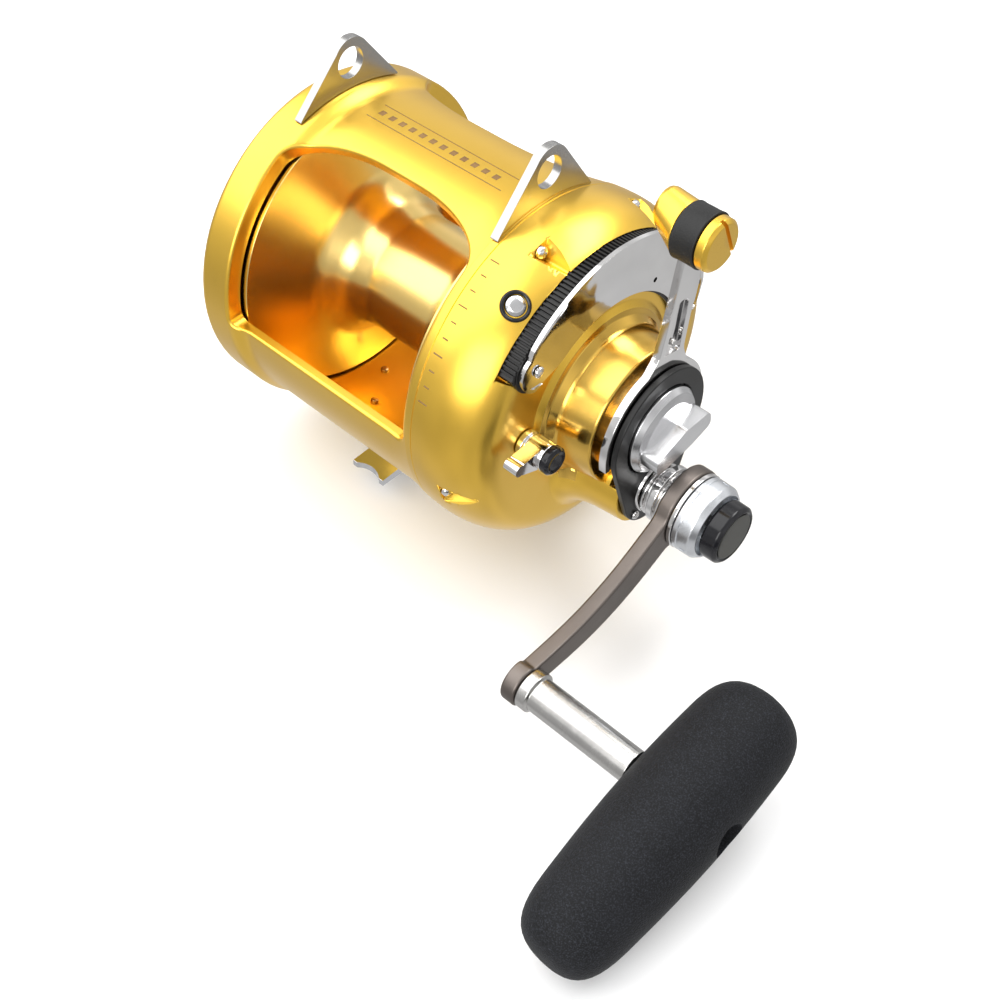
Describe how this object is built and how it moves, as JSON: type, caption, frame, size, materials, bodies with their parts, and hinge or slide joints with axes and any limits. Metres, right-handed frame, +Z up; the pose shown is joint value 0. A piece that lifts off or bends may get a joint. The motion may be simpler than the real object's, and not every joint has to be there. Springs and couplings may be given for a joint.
{
  "type": "trolling reel",
  "caption": "Two-speed lever-drag big-game trolling reel with a gold frame, harness lugs, drag lever, clicker and long crank with a T-bar grip.",
  "frame": {"origin": "centre of the flat seat under the reel foot", "axes": "+X along the spool axis towards the crank; -Y towards the angler, +Y towards the rod tip; +Z up, from the foot to the harness lugs"},
  "size_m": [0.276, 0.2185, 0.1652],
  "materials": {
    "gold": "satin gold anodised",
    "spool_gold": "polished deep gold anodised",
    "chrome": "polished",
    "steel": "satin",
    "silver": "brushed clear anodised",
    "bronze": "machined",
    "arm_grey": "satin warm grey",
    "black": "satin black",
    "rubber": "matt",
    "friction": "woven carbon friction face",
    "foam": "speckled closed-cell foam"
  },
  "bodies": {
    "reel_body": {"frame": "gold", "left_side_plate": "gold", "right_side_plate": "gold", "bridge_plate": "silver", "reel_foot": "chrome", "foot_screw_1": "steel", "foot_screw_2": "steel", "foot_screw_3": "steel", "foot_screw_4": "steel", "left_harness_lug": "chrome", "right_harness_lug": "chrome", "plate_screw_1": "steel", "plate_screw_2": "steel", "plate_screw_3": "steel", "plate_screw_4": "steel", "plate_screw_5": "steel", "quadrant_rack": "black", "quadrant_plate": "chrome", "quadrant_screw": "steel", "end_cover": "black", "end_cover_screw_1": "steel", "end_cover_screw_2": "steel", "strike_bezel": "black", "left_end_cap": "silver", "gear_bearing_inner": "steel", "gear_bearing_outer": "steel", "pinion_bearing": "steel", "dog_pin": "steel"},
    "sliding_shaft": {"spool_shaft": "steel", "cam_follower": "steel", "spool_bearing_left": "steel", "spool_bearing_right": "steel", "release_spring": "steel"},
    "spool_group": {"spool": "spool_gold", "click_ratchet": "steel", "drag_washer": "friction"},
    "preset_group": {"preset_knob": "chrome"},
    "drive_pinions": {"pinion_sleeve": "steel", "low_pinion": "steel", "pressure_plate": "steel"},
    "crank_group": {"gear_shaft": "steel", "high_gear": "bronze", "anti_reverse_ratchet": "steel", "crank_arm": "arm_grey", "arm_washer": "black", "handle_collar": "silver", "grip_spindle": "steel"},
    "low_gear_group": {"low_gear": "bronze"},
    "grip_group": {"grip": "foam", "grip_screw": "steel"},
    "shift_group": {"shift_button": "black", "shift_rod": "steel"},
    "lever_group": {"drag_lever": "chrome", "lever_knob": "gold", "lever_knob_band": "rubber"},
    "strike_group": {"strike_button": "chrome"},
    "clicker_group": {"clicker_lever": "chrome", "clicker_cap": "black", "click_pawl": "steel"},
    "dog_group": {"anti_reverse_dog": "steel"}
  },
  "joints": [
    {"name": "drag_lever_turn", "type": "hinge", "parent": "reel_body", "child": "lever_group", "pos_m": [0, 0, 0.069], "axis": [1, 0, 0], "range_deg": [-36, 56]},
    {"name": "shaft_slide", "type": "slide", "parent": "reel_body", "child": "sliding_shaft", "axis": [1, 0, 0], "range_m": [-0.00088, 0.00056]},
    {"name": "spool_spin", "type": "hinge", "parent": "sliding_shaft", "child": "spool_group", "pos_m": [0, 0, 0.069], "axis": [1, 0, 0], "continuous": true},
    {"name": "preset_turn", "type": "hinge", "parent": "sliding_shaft", "child": "preset_group", "pos_m": [0, 0, 0.069], "axis": [1, 0, 0], "range_deg": [-170, 170]},
    {"name": "crank_turn", "type": "hinge", "parent": "reel_body", "child": "crank_group", "pos_m": [0, 0, 0.041], "axis": [1, 0, 0], "continuous": true},
    {"name": "pinion_spin", "type": "hinge", "parent": "reel_body", "child": "drive_pinions", "pos_m": [0, 0, 0.069], "axis": [1, 0, 0], "continuous": true},
    {"name": "low_gear_spin", "type": "hinge", "parent": "reel_body", "child": "low_gear_group", "pos_m": [0, 0, 0.041], "axis": [1, 0, 0], "continuous": true},
    {"name": "grip_spin", "type": "hinge", "parent": "crank_group", "child": "grip_group", "pos_m": [0.191, -0.085, 0.018], "axis": [1, 0, 0], "continuous": true},
    {"name": "shift_press", "type": "slide", "parent": "crank_group", "child": "shift_group", "axis": [-1, 0, 0], "range_m": [0, 0.0062]},
    {"name": "strike_press", "type": "slide", "parent": "reel_body", "child": "strike_group", "axis": [-0.5736, 0.4521, -0.6831], "range_m": [0, 0.002], "stiffness_N_per_m": 600},
    {"name": "clicker_turn", "type": "hinge", "parent": "reel_body", "child": "clicker_group", "pos_m": [0.08, -0.0395, 0.071], "axis": [1, 0, 0], "range_deg": [-28, 0]},
    {"name": "dog_swing", "type": "hinge", "parent": "reel_body", "child": "dog_group", "pos_m": [0.062, -0.0186, 0.0345], "axis": [1, 0, 0], "range_deg": [0, 15], "stiffness_Nm_per_rad": 0.005}
  ],
  "couplings": [
    {"joint": "drag_lever_turn", "follows": "shaft_slide", "rad_per_m": -1111.1},
    {"joint": "spool_spin", "follows": "crank_turn", "ratio": -2.7333},
    {"joint": "pinion_spin", "follows": "crank_turn", "ratio": -2.7333},
    {"joint": "low_gear_spin", "follows": "crank_turn", "ratio": 1.9051}
  ]
}
